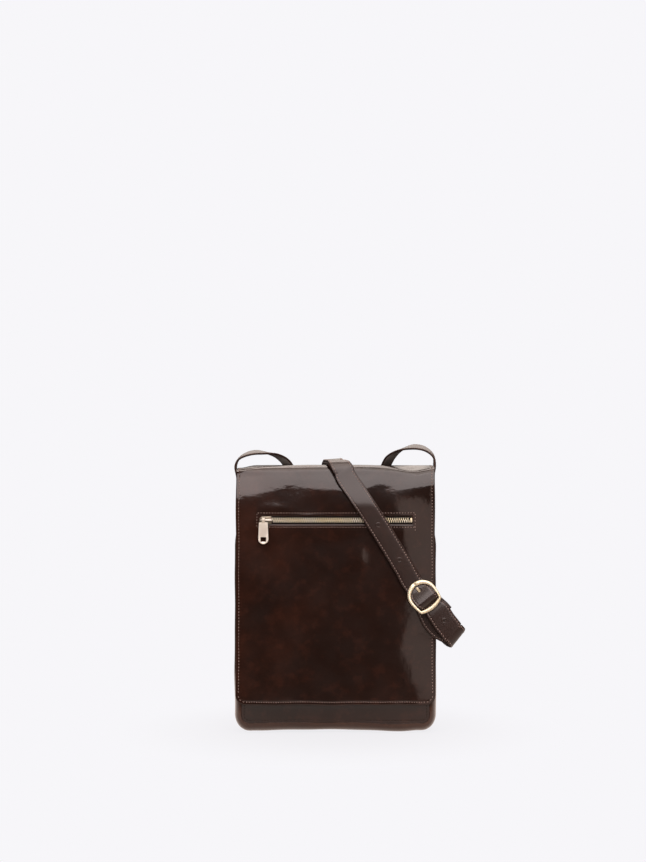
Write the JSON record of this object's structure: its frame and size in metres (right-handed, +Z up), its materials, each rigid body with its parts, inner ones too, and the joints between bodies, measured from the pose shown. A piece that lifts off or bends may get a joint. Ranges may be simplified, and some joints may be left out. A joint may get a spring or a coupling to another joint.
{
  "type": "crossbody purse",
  "caption": "Flat leather crossbody bag with a full-length front flap, a zip pocket on the flap and a buckled shoulder strap thrown over it.",
  "frame": {"origin": "on the flat of the base, under the middle of the bag's body", "axes": "+Z up, -Y to the front where the flap hangs, +X to the wearer's left"},
  "size_m": [0.2958, 0.1211, 0.3698],
  "materials": {
    "leather": "glazed dark brown leather, glossy, with red-brown mottling",
    "strap_leather": "dark brown strap leather, satin gloss, painted edges",
    "lining_cloth": "woven cotton lining",
    "zip_tape": "woven zip tape",
    "brass": "polished pale gold brass",
    "pale_metal": "polished very pale gold plate",
    "steel": "nickelled magnetic snap"
  },
  "bodies": {
    "bag": {"front_panel": "leather", "back_panel": "leather", "gusset_left": "leather", "gusset_right": "leather", "lining": "lining_cloth", "slip_pocket": "lining_cloth", "snap_socket": "steel", "flap_rear_lap": "leather", "strap_anchor_left": "strap_leather", "strap_anchor_right": "strap_leather", "long_strap_loop": "strap_leather", "long_strap_bight": "strap_leather", "short_strap_loop": "strap_leather", "short_strap_bight": "strap_leather"},
    "flap_bridge": {"flap_top": "leather", "flap_top_lining": "lining_cloth", "long_strap_top": "strap_leather", "short_strap_top": "strap_leather"},
    "flap_front": {"flap_leather": "leather", "flap_lining": "lining_cloth", "zip_pocket_pouch": "lining_cloth", "zip_tape_upper": "zip_tape", "zip_tape_lower": "zip_tape", "zip_teeth_upper": "brass", "zip_teeth_lower": "brass", "zip_end_stop": "brass", "snap_stud": "steel", "long_strap_front": "strap_leather", "short_strap_front": "strap_leather"},
    "zip_slider": {"zip_slider_body": "pale_metal"},
    "zip_pull": {"zip_pull_tab": "pale_metal"},
    "buckle": {"buckle_frame": "brass"},
    "prong": {"buckle_prong": "brass"}
  },
  "joints": [
    {"name": "flap_hinge", "type": "hinge", "parent": "bag", "child": "flap_bridge", "pos_m": [0, 0.0403, 0.3433], "axis": [-1, 0, 0], "range_deg": [0, 120], "deforming": ["long_strap_loop", "short_strap_loop", "long_strap_top", "short_strap_top"]},
    {"name": "flap_fold", "type": "hinge", "parent": "flap_bridge", "child": "flap_front", "pos_m": [0, -0.0222, 0.3433], "axis": [-1, 0, 0], "range_deg": [0, 90]},
    {"name": "zip_slide", "type": "slide", "parent": "flap_front", "child": "zip_slider", "axis": [1, 0, 0], "range_m": [0, 0.105]},
    {"name": "zip_pull_swing", "type": "hinge", "parent": "zip_slider", "child": "zip_pull", "pos_m": [-0.0925, -0.03192, 0.27271], "axis": [-1, 0, 0], "range_deg": [0, 165]},
    {"name": "buckle_tilt", "type": "hinge", "parent": "flap_front", "child": "buckle", "pos_m": [0.11601, -0.04346, 0.17148], "axis": [0.7771, 0.0373, 0.6282], "range_deg": [0, 4]},
    {"name": "prong_lift", "type": "hinge", "parent": "buckle", "child": "prong", "pos_m": [0.11601, -0.04346, 0.17148], "axis": [0.7771, 0.0373, 0.6282], "range_deg": [0, 15]}
  ]
}
